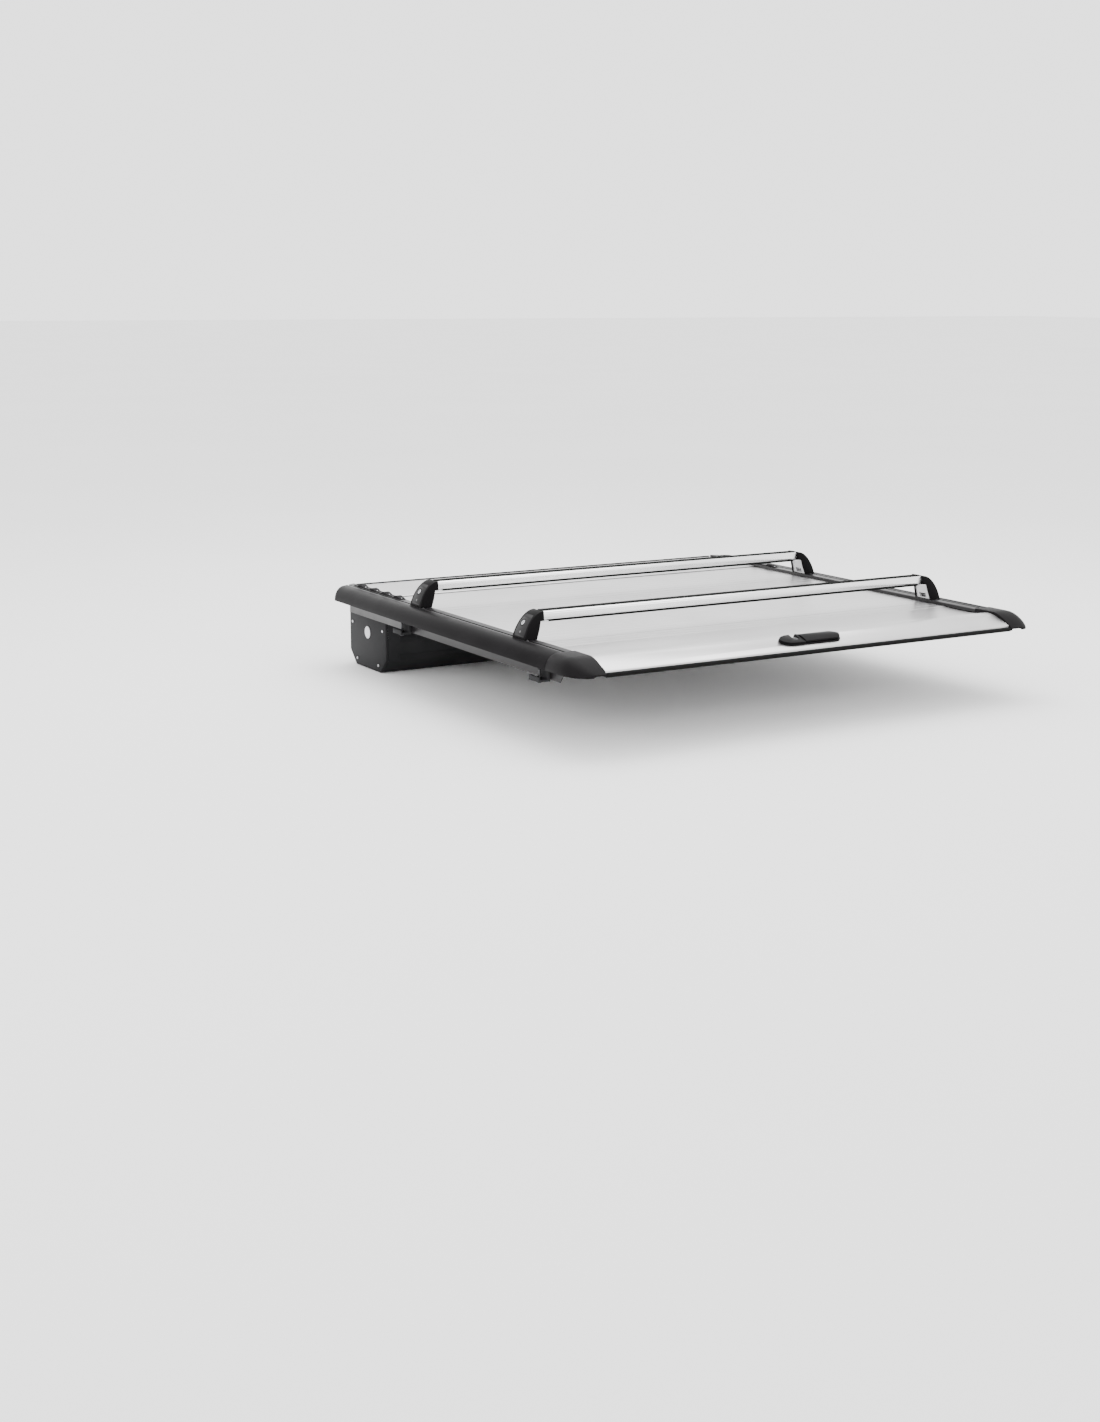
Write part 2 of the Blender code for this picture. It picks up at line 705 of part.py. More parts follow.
def foot(name, side, bar_frame, silver, black, steel):
    """A foot: alloy bracket with its T-nut in the rail slot, a moulded cover over it and a lock."""
    under = BAR_UNDER - GAP
    nut = SLOT_HEAD - NUT_PLAY
    neck = SLOT_NECK - NECK_PLAY
    flange_out = FOOT_OUT - FOOT_CHEEK
    bracket = [
        (0.7295, FOOT_BASE),
        (SLOT_X - neck, FOOT_BASE),
        (SLOT_X - neck, SLOT_ROOF - GAP),
        (SLOT_X - nut, SLOT_ROOF - GAP),
        (SLOT_X - nut, SLOT_FLOOR + GAP),
        (SLOT_X + nut, SLOT_FLOOR + GAP),
        (SLOT_X + nut, SLOT_ROOF - GAP),
        (SLOT_X + neck, SLOT_ROOF - GAP),
        (SLOT_X + neck, FOOT_BASE),
        (flange_out - GAP, FOOT_BASE),
        (flange_out - GAP, FLANGE_TOP - GAP),
        (0.7362, FLANGE_TOP - GAP),
        (0.7242, 0.0800),
        (0.7200, 0.0885),
        (0.7200, under),
        (0.6850, under),
        (0.6850, under - 0.0027),
        (0.7130, under - 0.0027),
        (0.7180, 0.0780),
        (0.7285, FLANGE_TOP - GAP),
    ]

    def inner_rear(x, z):
        return FOOT_CHEEK - foot_reach(x, z)

    def inner_front(x, z):
        return foot_reach(x, z) - FOOT_CHEEK

    def bracket_rear(x, z):
        return inner_rear(x, z) + GAP

    def bracket_front(x, z):
        return inner_front(x, z) - GAP

    alloy = along_y(bracket, bracket_rear, bracket_front, side)
    body = object_from(f"{name}_foot", alloy, silver, bar_frame)
    notch = along_y(box(0.7000, 0.7380, FLANGE_TOP, 0.0620), -NOTCH_HALF, NOTCH_HALF, side)
    boolean(body, object_from(f"{name}_notch_cutter", notch, silver, bar_frame))

    shell = [
        *foot_curve(16),
        (BAR_HALF + GAP, BAR_UNDER),
        (0.7115, BAR_UNDER),
        (0.7172, 0.0700),
        (0.7265, FOOT_BASE),
    ]
    moulding = along_y(shell, foot_rear, foot_reach, side)
    cover = object_from(f"{name}_foot_cover", moulding, black, bar_frame)
    pocket = [
        (0.6900, FOOT_BASE - 0.005),
        (flange_out, FOOT_BASE - 0.005),
        (flange_out, FLANGE_TOP),
        (0.7365, FLANGE_TOP),
        (0.7245, 0.0801),
        (0.7203, 0.0886),
        (0.7203, BAR_UNDER),
        (0.6900, BAR_UNDER),
    ]
    hollow = along_y(pocket, inner_rear, inner_front, side)
    boolean(cover, object_from(f"{name}_pocket_cutter", hollow, black, bar_frame))

    # The lock stands square to the rounded face.
    step = 0.0005
    fall = (foot_face(FOOT_LOCK_Z - step) - foot_face(FOOT_LOCK_Z + step)) / (2 * step)
    outward = Vector((side, 0, fall)).normalized()
    turn = outward.to_track_quat("Z", "Y")
    place = (side * foot_face(FOOT_LOCK_Z), FOOT_LOCK_Y, FOOT_LOCK_Z)
    hole = along_z(circle(FOOT_LOCK_RADIUS + 0.0001), -0.010, 0.010)
    bore = object_from(f"{name}_lock_bore_cutter", hole, black, bar_frame, place)
    plug = along_z(circle(FOOT_LOCK_RADIUS), -0.0097, 0.0008)
    barrel = object_from(f"{name}_foot_lock", plug, steel, bar_frame, place)
    for piece in (bore, barrel):
        piece.rotation_mode = "QUATERNION"
        piece.rotation_quaternion = turn
    boolean(cover, bore)


def build():
    for obj in list(bpy.data.objects):
        bpy.data.objects.remove(obj, do_unlink=True)
    silver = material("satin_alloy", (0.62, 0.62, 0.63), 0.36, 1.0)
    black = material("black_shell", (0.035, 0.034, 0.035), 0.45)
    gloss = material("handle_black", (0.025, 0.024, 0.025), 0.28)
    rubber = material("black_rubber", (0.020, 0.020, 0.020), 0.75)
    plastic = material("grey_plastic", (0.060, 0.060, 0.062), 0.55)
    steel = material("zinc_steel", (0.55, 0.55, 0.56), 0.32, 1.0)

    side_rails(black)
    rail_covers(black)
    end_caps(black)
    scallop_trims(black)
    canister(silver, black, rubber, steel)
    rail_clamps(plastic)
    slats(silver)
    panel = end_panel(silver, rubber)
    handle(panel, gloss, black)
    latches(steel, plastic)
    crossbar("front", FRONT_BAR_Y, silver, black, rubber, steel)
    crossbar("rear", REAR_BAR_Y, silver, black, rubber, steel)


build()
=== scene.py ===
"""The roller tonneau cover's looks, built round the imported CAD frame."""

import json
import math

import bmesh
import bpy
from mathutils import Matrix, Vector


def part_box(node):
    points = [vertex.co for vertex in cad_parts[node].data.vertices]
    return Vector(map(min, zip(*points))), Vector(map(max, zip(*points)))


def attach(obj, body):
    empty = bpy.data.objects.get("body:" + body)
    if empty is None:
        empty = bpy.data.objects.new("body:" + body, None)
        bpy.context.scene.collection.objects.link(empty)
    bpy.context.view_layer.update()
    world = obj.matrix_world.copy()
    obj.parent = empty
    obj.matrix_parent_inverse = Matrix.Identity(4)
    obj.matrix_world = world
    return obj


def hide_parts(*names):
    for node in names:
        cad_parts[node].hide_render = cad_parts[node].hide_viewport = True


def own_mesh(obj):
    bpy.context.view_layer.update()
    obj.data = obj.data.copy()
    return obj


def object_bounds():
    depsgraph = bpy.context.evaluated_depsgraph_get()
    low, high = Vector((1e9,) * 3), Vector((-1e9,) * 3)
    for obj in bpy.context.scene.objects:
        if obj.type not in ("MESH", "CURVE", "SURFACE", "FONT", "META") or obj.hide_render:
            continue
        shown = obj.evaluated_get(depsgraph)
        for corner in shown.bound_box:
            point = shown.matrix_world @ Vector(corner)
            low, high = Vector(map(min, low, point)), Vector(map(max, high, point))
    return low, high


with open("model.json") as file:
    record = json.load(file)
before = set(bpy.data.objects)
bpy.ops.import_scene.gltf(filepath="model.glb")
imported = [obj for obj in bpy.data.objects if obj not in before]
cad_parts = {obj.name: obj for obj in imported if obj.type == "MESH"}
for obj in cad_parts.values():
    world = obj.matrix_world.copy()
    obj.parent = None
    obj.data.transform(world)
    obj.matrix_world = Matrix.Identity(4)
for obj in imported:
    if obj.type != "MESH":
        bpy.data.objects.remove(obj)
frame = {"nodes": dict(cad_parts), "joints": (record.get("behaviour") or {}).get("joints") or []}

CAD_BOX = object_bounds()
SIDES = {"left": -1, "right": 1}
ENDS = ("front", "rear")
FRAME_BODY = "cover_frame"

# Camera: where it stands in the object's frame, and where it looks.
CAMERA_PLACE = Vector((-3.441, -5.031, 1.016))
CAMERA_YAW = 30.87
CAMERA_PITCH = 12.41
CAMERA_ROLL = 0.29
CAMERA_LENS = 48.98

# Curtain: how many real slats the visible deck has, and how its joints look.
SLATS = 26
SLAT_SKIN = 0.0016
SLAT_ROUND = 0.0011
SLAT_GAP = 0.0007
SLAT_RIB = 0.0015
SLAT_HOOK = 0.0050
SLAT_HOOK_DROP = 0.0008
SLAT_CROWN = 0.00015

# Crossbars: the ribbed strip on top, and the flat black rubber strip underneath, which also
# stands in for the shade along the bar's underside (painted shade).
RIDGES = 4
RIDGE_DEPTH = 0.0007
SHADE_STRIP_INSET = 0.0035
SHADE_STRIP_DEEP = 0.0055
SHADE_STRIP_GAP = 0.0002
SHADE_STRIP_END = 0.0154

# Crossbar feet: the cover's rounded outer face, as shares of its height.
FOOT_ROUND = 0.725
FOOT_LONG_BASE = 0.036
FOOT_LONG_TOP = 0.028
INLAY_FROM = 0.09
INLAY_TO = 0.86
INLAY_STEPS = 12
INLAY_PLUG = 0.26
LOCK_SHARE = 0.579
# Keyway block: width, height and depth of the black block that stands for the slot's shaded
# inside (painted shade).
KEYWAY = (0.0014, 0.0082, 0.0006)
KEYWAY_RISE = 0.0009

# Screw heads: radius and height.
TRIM_SCREW = (0.0035, 0.0014)
TRIM_SCREWS = 4
TRIM_SCREW_START = 0.012
TRIM_SCREW_STEP = 0.0880
TRIM_SCREW_RISE = 0.0022
END_SCREW = (0.0045, 0.0024)
END_SCREW_EDGE = 0.022
END_SCREW_CORNER = 0.055
END_SCREW_Z = -0.08
BAR_SCREW = (0.0042, 0.0030)
BAR_SCREW_SPREAD = 0.013
BAR_SCREW_IN = 0.009
BRACKET_LIP = 0.0027

# Turned pieces: (radius, height) profiles.
WASHER = [(0.0085, 0.0), (0.0085, -0.0012), (0.0075, -0.0016)]
HEX_HEAD = [(0.0065, 0.0), (0.0065, 0.0046), (0.0052, 0.0052)]
HEX_HEAD_DROP = 0.0016
BOLT_END = [(0.0039, 0.0), (0.0039, 0.0240), (0.0030, 0.0250)]
BOLT_END_RISE = 0.0075
AXLE_BOSS = [(0.020, 0.0), (0.020, 0.0015), (0.017, 0.0028), (0.012, 0.0028)]
FOOT_PLUG = [(0.0034, 0.0), (0.0034, 0.0010), (0.0028, 0.0014)]
LOCK_COLLAR = [(0.0080, 0.0), (0.0100, 0.0), (0.0100, 0.0007), (0.0094, 0.0012), (0.0080, 0.0012)]

# Canister: where its pressed ribs run, and their section's half widths and rises.
RIB_HEIGHTS = (-0.045, -0.105, -0.165)
RIB_FOOT = 0.0100
RIB_SHOULDER = 0.0060
RIB_SHOULDER_OUT = 0.0022
RIB_CREST_OUT = 0.0026
RIB_END = 0.040

# Edges sharper than this many degrees show as edges.
CREASE = 34
SOFT_CREASE = 40
BEVEL_ANGLE = 28

# How each kind of CAD node is finished: width and steps of its rounded edges, and its look.
FINISHES = {
    "side_rail": (0.0004, 2, "rail"),
    "rail_cover": (0.0007, 2, "shell"),
    "end_cap": (0.0006, 2, "shell"),
    "scallop_trim": (0.0006, 2, "shell"),
    "clamp": (0.0012, 2, "plastic"),
    "canister_body": (0.0007, 2, "canister"),
    "canister_lid": (0.0006, 2, "deck"),
    "canister_end": (0.0012, 2, "plastic"),
    "bulkhead_seal": (0.0003, 2, "rubber"),
    "drum_axle": (0.0006, 2, "steel"),
    "drum_tube": (0.0006, 2, "bracket"),
    "end_panel": (0.0006, 2, "deck"),
    "panel_seal": (0.0003, 2, "rubber"),
    "guide_shoe": (0.0006, 2, "plastic"),
    "latch_bolt": (0.0005, 2, "steel"),
    "handle_base": (0.0007, 2, "shell"),
    "lock_housing": (0.0016, 3, "handle"),
    "handle_lever": (0.0009, 3, "handle"),
    "handle_lock": (0.0004, 2, "dark_steel"),
    "crossbar": (0.0005, 2, "bar"),
    "foot": (0.0006, 2, "bracket"),
    "foot_cover": (0.0016, 3, "foot"),
    "foot_lock": (0.0006, 2, "steel"),
}

# The part of a noise's range that colours and roughness are spread over.
NOISE_LOW = 0.3
NOISE_HIGH = 0.7

FLOOR_HALF = 60
FLOOR_DROP = 0.0015
WORLD_STRENGTH = 2.4


# ---------------------------------------------------------------- materials

class Look:
    """A node material that is built up a texture at a time."""

    def __init__(self, name, roughness, metallic=0.0, **sockets):
        self.material = bpy.data.materials.new(name)
        self.material.use_nodes = True
        self.tree = self.material.node_tree
        self.shader = self.tree.nodes["Principled BSDF"]
        self.shader.inputs["Roughness"].default_value = roughness
        self.shader.inputs["Metallic"].default_value = metallic
        for socket, value in sockets.items():
            self.shader.inputs[socket.replace("_", " ")].default_value = value
        self.place = self.tree.nodes.new("ShaderNodeTexCoord")

    def node(self, kind):
        return self.tree.nodes.new(kind)

    def link(self, one, other):
        self.tree.links.new(one, other)

    def noise(self, scale, stretch=(1, 1, 1), detail=3.0, roughness=0.5):
        """Noise in metres; a stretch above 1 makes it finer along that axis."""
        mapping = self.node("ShaderNodeMapping")
        mapping.inputs["Scale"].default_value = stretch
        noise = self.node("ShaderNodeTexNoise")
        noise.inputs["Scale"].default_value = scale
        noise.inputs["Detail"].default_value = detail
        noise.inputs["Roughness"].default_value = roughness
        self.link(self.place.outputs["Object"], mapping.inputs["Vector"])
        self.link(mapping.outputs["Vector"], noise.inputs["Vector"])
        return noise.outputs["Fac"]

    def colours(self, value, dark, light):
        ramp = self.node("ShaderNodeValToRGB")
        ramp.color_ramp.elements[0].position = NOISE_LOW
        ramp.color_ramp.elements[0].color = (*dark, 1.0)
        ramp.color_ramp.elements[1].position = NOISE_HIGH
        ramp.color_ramp.elements[1].color = (*light, 1.0)
        self.link(value, ramp.inputs["Fac"])
        self.link(ramp.outputs["Color"], self.shader.inputs["Base Color"])

    def rough(self, value, low, high):
        spread = self.node("ShaderNodeMapRange")
        spread.inputs["From Min"].default_value = NOISE_LOW
        spread.inputs["From Max"].default_value = NOISE_HIGH
        spread.inputs["To Min"].default_value = low
        spread.inputs["To Max"].default_value = high
        self.link(value, spread.inputs["Value"])
        self.link(spread.outputs["Result"], self.shader.inputs["Roughness"])

    def bump(self, value, depth):
        bump = self.node("ShaderNodeBump")
        bump.inputs["Strength"].default_value = 1.0
        bump.inputs["Distance"].default_value = depth
        self.link(value, bump.inputs["Height"])
        self.link(bump.outputs["Normal"], self.shader.inputs["Normal"])


def drawn_alloy(name, dark, light, low_rough, high_rough):
    """Anodised extrusion: fine die lines along x, and a faint cloudiness."""
    look = Look(name, low_rough, 1.0)
    lines = look.noise(22, (0.6, 45, 45), 4.0, 0.65)
    cloud = look.noise(3.1, detail=2.0)
    look.colours(cloud, dark, light)
    look.rough(lines, low_rough, high_rough)
    look.bump(lines, 0.00002)
    return look.material


def moulded_black(name, dark, light, low_rough, high_rough, grain=900, depth=0.00006, shine=0.04):
    """Moulded plastic or powder coat: an even fine grain, and a little dust in the colour."""
    look = Look(name, low_rough, 0.0, Specular_IOR_Level=shine)
    fine = look.noise(grain, detail=2.0)
    patch = look.noise(7.0, detail=4.0)
    look.colours(patch, dark, light)
    look.rough(patch, low_rough, high_rough)
    look.bump(fine, depth)
    return look.material


def rubber_look(name):
    look = Look(name, 0.78, 0.0, Specular_IOR_Level=0.06)
    fine = look.noise(1400, detail=2.0)
    streak = look.noise(9.0, (0.4, 12, 12), 3.0)
    look.colours(streak, (0.003, 0.003, 0.003), (0.007, 0.007, 0.0068))
    look.rough(streak, 0.70, 0.88)
    look.bump(fine, 0.00004)
    return look.material


def plated_steel(name, dark, light):
    look = Look(name, 0.3, 1.0)
    spangle = look.noise(180, detail=3.0)
    look.colours(spangle, dark, light)
    look.rough(spangle, 0.24, 0.40)
    look.bump(look.noise(900, detail=2.0), 0.00002)
    return look.material


LOOKS = {
    "deck": drawn_alloy("deck_alloy", (0.54, 0.535, 0.538), (0.62, 0.615, 0.618), 0.30, 0.40),
    "bar": drawn_alloy("bar_alloy", (0.80, 0.80, 0.805), (0.88, 0.88, 0.88), 0.22, 0.30),
    "bracket": drawn_alloy("bracket_alloy", (0.60, 0.60, 0.61), (0.72, 0.72, 0.72), 0.30, 0.44),
    "rail": moulded_black(
        "rail_coat", (0.005, 0.0045, 0.005), (0.009, 0.008, 0.009), 0.34, 0.46, shine=0.30),
    "shell": moulded_black(
        "shell_black", (0.004, 0.0036, 0.004), (0.008, 0.0074, 0.008), 0.40, 0.52),
    "foot": moulded_black(
        "foot_black", (0.003, 0.0027, 0.003), (0.006, 0.0055, 0.006), 0.46, 0.60),
    "inlay": moulded_black(
        "inlay_grey", (0.012, 0.012, 0.012), (0.019, 0.018, 0.019), 0.40, 0.52, shine=0.12),
    "handle": moulded_black(
        "handle_black_gloss", (0.003, 0.0027, 0.003), (0.006, 0.0055, 0.006), 0.26, 0.36,
        grain=1300, depth=0.00002, shine=0.03),
    "plastic": moulded_black(
        "plastic_grey", (0.018, 0.018, 0.019), (0.030, 0.030, 0.031), 0.5, 0.62),
    "rubber": rubber_look("seal_rubber"),
    "steel": plated_steel("plated_steel", (0.48, 0.48, 0.50), (0.62, 0.62, 0.63)),
    "plate": plated_steel("zinc_plug", (0.11, 0.11, 0.112), (0.17, 0.17, 0.172)),
    "dark_steel": plated_steel("blackened_steel", (0.040, 0.040, 0.042), (0.075, 0.075, 0.078)),
    "canister": moulded_black(
        "canister_coat", (0.016, 0.016, 0.017), (0.026, 0.026, 0.027), 0.46, 0.58, grain=600),
}


# ---------------------------------------------------------------- mesh helpers

def smoothed(mesh, angle=CREASE):
    mesh.shade_smooth()
    mesh.set_sharp_from_angle(angle=math.radians(angle))


def piece(name, bm, look, body, angle=CREASE):
    """A finished piece in the row frame, riding on a body."""
    bmesh.ops.recalc_face_normals(bm, faces=bm.faces)
    mesh = bpy.data.meshes.new(name)
    bm.to_mesh(mesh)
    bm.free()
    smoothed(mesh, angle)
    mesh.materials.append(LOOKS[look])
    made = bpy.data.objects.new(name, mesh)
    bpy.context.scene.collection.objects.link(made)
    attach(made, body)
    return made


def settled(obj):
    """Applies the object's modifiers to its mesh."""
    bpy.context.view_layer.update()
    graph = bpy.context.evaluated_depsgraph_get()
    mesh = bpy.data.meshes.new_from_object(obj.evaluated_get(graph))
    obj.modifiers.clear()
    obj.data = mesh


def softened(node, kind, body):
    """Stands for a CAD node, with the same shape and its sharp edges rounded."""
    width, segments, look = FINISHES[kind]
    bm = bmesh.new()
    bm.from_mesh(frame["nodes"][node].data)
    bmesh.ops.remove_doubles(bm, verts=bm.verts, dist=1e-5)
    flat = math.radians(0.6)
    bmesh.ops.dissolve_limit(bm, angle_limit=flat, verts=bm.verts, edges=bm.edges)
    made = piece(f"{node}_finish", bm, look, body)
    bevel = made.modifiers.new("edges", "BEVEL")
    bevel.width = width
    bevel.segments = segments
    bevel.limit_method = "ANGLE"
    bevel.angle_limit = math.radians(BEVEL_ANGLE)
    settled(made)
    smoothed(made.data, SOFT_CREASE)
    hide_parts(node)


def loft(rings, closed=False, bm=None):
    bm = bm or bmesh.new()
    loops = [[bm.verts.new(point) for point in ring] for ring in rings]
    pairs = list(zip(loops, loops[1:]))
    if closed:
        pairs.append((loops[-1], loops[0]))
    for one, other in pairs:
        for i in range(len(one)):
            j = (i + 1) % len(one)
            bm.faces.new((one[i], one[j], other[j], other[i]))
    if not closed:
        bm.faces.new(loops[0])
        bm.faces.new(loops[-1])
    return bm


def along_x(outline, start, end, bm=None):
    return loft([[(x, y, z) for y, z in outline] for x in (start, end)], bm=bm)


def turned(profile, place, axis, steps, bm):
    """A (radius, height) profile turned round an axis through a place, closed at both ends."""
    turn = Vector(axis).to_track_quat("Z", "Y")
    rings = []
    for radius, height in profile:
        ring = []
        for i in range(steps):
            angle = 2 * math.pi * i / steps
            spoke = Vector((radius * math.cos(angle), radius * math.sin(angle), height))
            ring.append(Vector(place) + turn @ spoke)
        rings.append(ring)
    return loft(rings, bm=bm)


def cap_screw(bm, place, axis, head):
    """A round screw head with a chamfer and a low six-sided rim on top."""
    radius, height = head
    chamfer = 0.18 * radius
    socket = 0.52 * radius
    profile = [
        (radius, 0.0),
        (radius, height - chamfer),
        (radius - chamfer, height),
        (socket * 1.1, height),
    ]
    turned(profile, place, axis, 20, bm)
    lifted = Vector(place) + Vector(axis).normalized() * height
    rim = [(socket, 0.0), (socket, 0.0003), (socket * 0.82, 0.0003), (socket * 0.80, 0.00015)]
    turned(rim, lifted, axis, 6, bm)


# ---------------------------------------------------------------- the pieces

def node_low(node):
    return Vector(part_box(node)[0])


def node_high(node):
    return Vector(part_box(node)[1])


def joint(name):
    return next(j for j in frame["joints"] if j["name"] == name)


def trim_screws(name):
    """A row of screws along a scalloped trim."""
    low, high = node_low(f"{name}_scallop_trim"), node_high(f"{name}_scallop_trim")
    middle = (low.x + high.x) / 2
    bm = bmesh.new()
    for i in range(TRIM_SCREWS):
        y = low.y + TRIM_SCREW_START + TRIM_SCREW_STEP * i
        cap_screw(bm, (middle, y, low.z + TRIM_SCREW_RISE), (0, 0, 1), TRIM_SCREW)
    piece(f"{name}_trim_screws", bm, "steel", FRAME_BODY)


def clamp_bolt(node):
    """A washer and a six-sided head under a clamp, and the bolt's end inside its hook."""
    low, high = node_low(node), node_high(node)
    place = Vector(((low.x + high.x) / 2, (low.y + high.y) / 2, low.z))
    bm = bmesh.new()
    turned(WASHER, place, (0, 0, 1), 24, bm)
    turned(HEX_HEAD, place - Vector((0, 0, HEX_HEAD_DROP)), (0, 0, -1), 6, bm)
    turned(BOLT_END, place + Vector((0, 0, BOLT_END_RISE)), (0, 0, 1), 16, bm)
    piece(f"{node}_bolt", bm, "dark_steel", FRAME_BODY)


def rails():
    for name in SIDES:
        for kind in ("side_rail", "rail_cover", "end_cap", "scallop_trim"):
            softened(f"{name}_{kind}", kind, FRAME_BODY)
        trim_screws(name)
        for end in ENDS:
            softened(f"{end}_{name}_clamp", "clamp", FRAME_BODY)
            clamp_bolt(f"{end}_{name}_clamp")


def canister_end(name, side):
    """An end plate with four screws and the axle's boss on its outside."""
    node = f"{name}_canister_end"
    softened(node, "canister_end", FRAME_BODY)
    low, high = node_low("canister_body"), node_high("canister_body")
    outer = node_high(node).x if side > 0 else node_low(node).x
    bm = bmesh.new()
    for y, z in (
        (low.y + END_SCREW_EDGE, END_SCREW_Z),
        (high.y - END_SCREW_EDGE, END_SCREW_Z),
        (low.y + END_SCREW_CORNER, low.z + END_SCREW_EDGE),
        (high.y - END_SCREW_CORNER, low.z + END_SCREW_EDGE),
    ):
        cap_screw(bm, (outer, y, z), (side, 0, 0), END_SCREW)
    axle = (node_low("drum_axle") + node_high("drum_axle")) / 2
    turned(AXLE_BOSS, (outer, axle.y, axle.z), (side, 0, 0), 32, bm)
    piece(f"{node}_screws", bm, "steel", FRAME_BODY)


def canister_ribs():
    """Pressed stiffening ribs along the canister's front and rear walls."""
    low, high = node_low("canister_body"), node_high("canister_body")
    bm = bmesh.new()
    for y, out in ((low.y, -1), (high.y, 1)):
        for z in RIB_HEIGHTS:
            section = [
                (y, z - RIB_FOOT),
                (y + out * RIB_SHOULDER_OUT, z - RIB_SHOULDER),
                (y + out * RIB_CREST_OUT, z),
                (y + out * RIB_SHOULDER_OUT, z + RIB_SHOULDER),
                (y, z + RIB_FOOT),
            ]
            along_x(section, low.x + RIB_END, high.x - RIB_END, bm)
    piece("canister_ribs", bm, "canister", FRAME_BODY)


def canister():
    for node in ("canister_body", "canister_lid", "bulkhead_seal", "drum_axle"):
        softened(node, node, FRAME_BODY)
    softened("drum_tube", "drum_tube", "drum")
    for name, side in SIDES.items():
        canister_end(name, side)
    canister_ribs()


def slat_section(rear, front, top, under):
    """One slat: rolled edges, a hair of crown, and the hook and rib that join it to the next."""
    middle = (rear + front) / 2
    inside = top - SLAT_SKIN
    hook = front - SLAT_HOOK
    r = SLAT_ROUND
    return [
        (rear, top - 1.6 * r),
        (rear + 0.3 * r, top - 0.45 * r),
        (rear + r, top - 0.0001),
        (rear + 2.6 * r, top),
        (middle, top + SLAT_CROWN),
        (front - 2.6 * r, top),
        (front - r, top - 0.0001),
        (front - 0.3 * r, top - 0.45 * r),
        (front, top - 1.6 * r),
        (front - 0.0002, inside - SLAT_HOOK_DROP),
        (hook, inside - SLAT_HOOK_DROP),
        (hook, under),
        (hook - SLAT_RIB, under),
        (hook - SLAT_RIB, inside),
        (rear + 0.0045, inside),
        (rear + 0.0030, under + 0.0012),
        (rear + 0.0010, under),
        (rear + 0.0004, under + 0.0030),
    ]


def curtain():
    """The visible deck as evenly spaced slats, each with rolled edges and the hook and rib below.
    """
    nodes = sorted(n for n in frame["nodes"] if n.startswith("slat_"))
    low, high = node_low(nodes[0]), node_high(nodes[-1])
    pitch = (high.y - low.y) / SLATS
    bm = bmesh.new()
    for i in range(SLATS):
        rear = low.y + pitch * i + SLAT_GAP / 2
        along_x(slat_section(rear, rear + pitch - SLAT_GAP, high.z, low.z), low.x, high.x, bm)
    slats = piece("curtain_slats", bm, "deck", FRAME_BODY, SOFT_CREASE)
    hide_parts(*nodes)
    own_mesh(slats)


def end_panel():
    softened("end_panel", "end_panel", "curtain")
    softened("panel_seal", "panel_seal", "curtain")
    for name in SIDES:
        softened(f"{name}_guide_shoe", "guide_shoe", "curtain")
        softened(f"{name}_latch_bolt", "latch_bolt", f"{name}_latch")


def handle():
    softened("handle_base", "handle_base", "curtain")
    softened("lock_housing", "lock_housing", "curtain")
    softened("handle_lever", "handle_lever", "handle")
    softened("handle_lock", "handle_lock", "handle_key")


def ribbed_strip(end, body):
    """The strip on top of a bar, with ridges along it."""
    strip = f"{end}_bar_strip"
    low, high = node_low(strip), node_high(strip)
    step = (high.y - low.y) / RIDGES
    outline = [(high.y, low.z), (low.y, low.z)]
    for i in range(RIDGES):
        start = low.y + step * i
        outline += [
            (start, high.z - RIDGE_DEPTH),
            (start + 0.3 * step, high.z),
            (start + 0.7 * step, high.z),
            (start + 0.98 * step, high.z - RIDGE_DEPTH),
        ]
    ribbed = piece(f"{strip}_finish", along_x(outline, low.x, high.x), "rubber", body)
    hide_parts(strip)


def crossbars():
    for end in ENDS:
        body = f"{end}_bar"
        softened(f"{end}_crossbar", "crossbar", body)
        ribbed_strip(end, body)
        low, high = node_low(f"{end}_crossbar"), node_high(f"{end}_crossbar")
        # A black rubber strip along each bar's underside, sized to stand in for the shade under
        # the bar as well (painted shade).
        under = rounded_strip(
            low.y + SHADE_STRIP_INSET, high.y - SHADE_STRIP_INSET, low.z - SHADE_STRIP_DEEP, low.z - SHADE_STRIP_GAP)
        reach = high.x - SHADE_STRIP_END
        piece(f"{end}_bar_shade_strip", along_x(under, -reach, reach), "rubber", body)
        for name, side in SIDES.items():
            foot(f"{end}_{name}", side, body)


def rounded_strip(rear, front, bottom, top):
    """Section of a flat strip with its lower corners rounded."""
    r = 0.4 * (top - bottom)
    return [
        (rear, top),
        (rear, bottom + r),
        (rear + 0.3 * r, bottom + 0.3 * r),
        (rear + r, bottom),
        (front - r, bottom),
        (front - 0.3 * r, bottom + 0.3 * r),
        (front, bottom + r),
        (front, top),
    ]


def cover_face(name, share):
    """Point and outward direction on a right-hand foot cover's rounded face.

    The share runs from 0 at the cover's base to 1 at its top.
    """
    low, high = node_low(f"{name}_foot_cover"), node_high(f"{name}_foot_cover")
    inner, outer = sorted((abs(low.x), abs(high.x)))

    def at(s):
        across = math.sqrt(max(0.0, 1 - s ** (1 / FOOT_ROUND)))
        return Vector((inner + (outer - inner) * across, 0, low.z + (high.z - low.z) * s))

    step = 0.002
    along = at(share + step) - at(share - step)
    return at(share), Vector((along.z, 0, -along.x)).normalized()


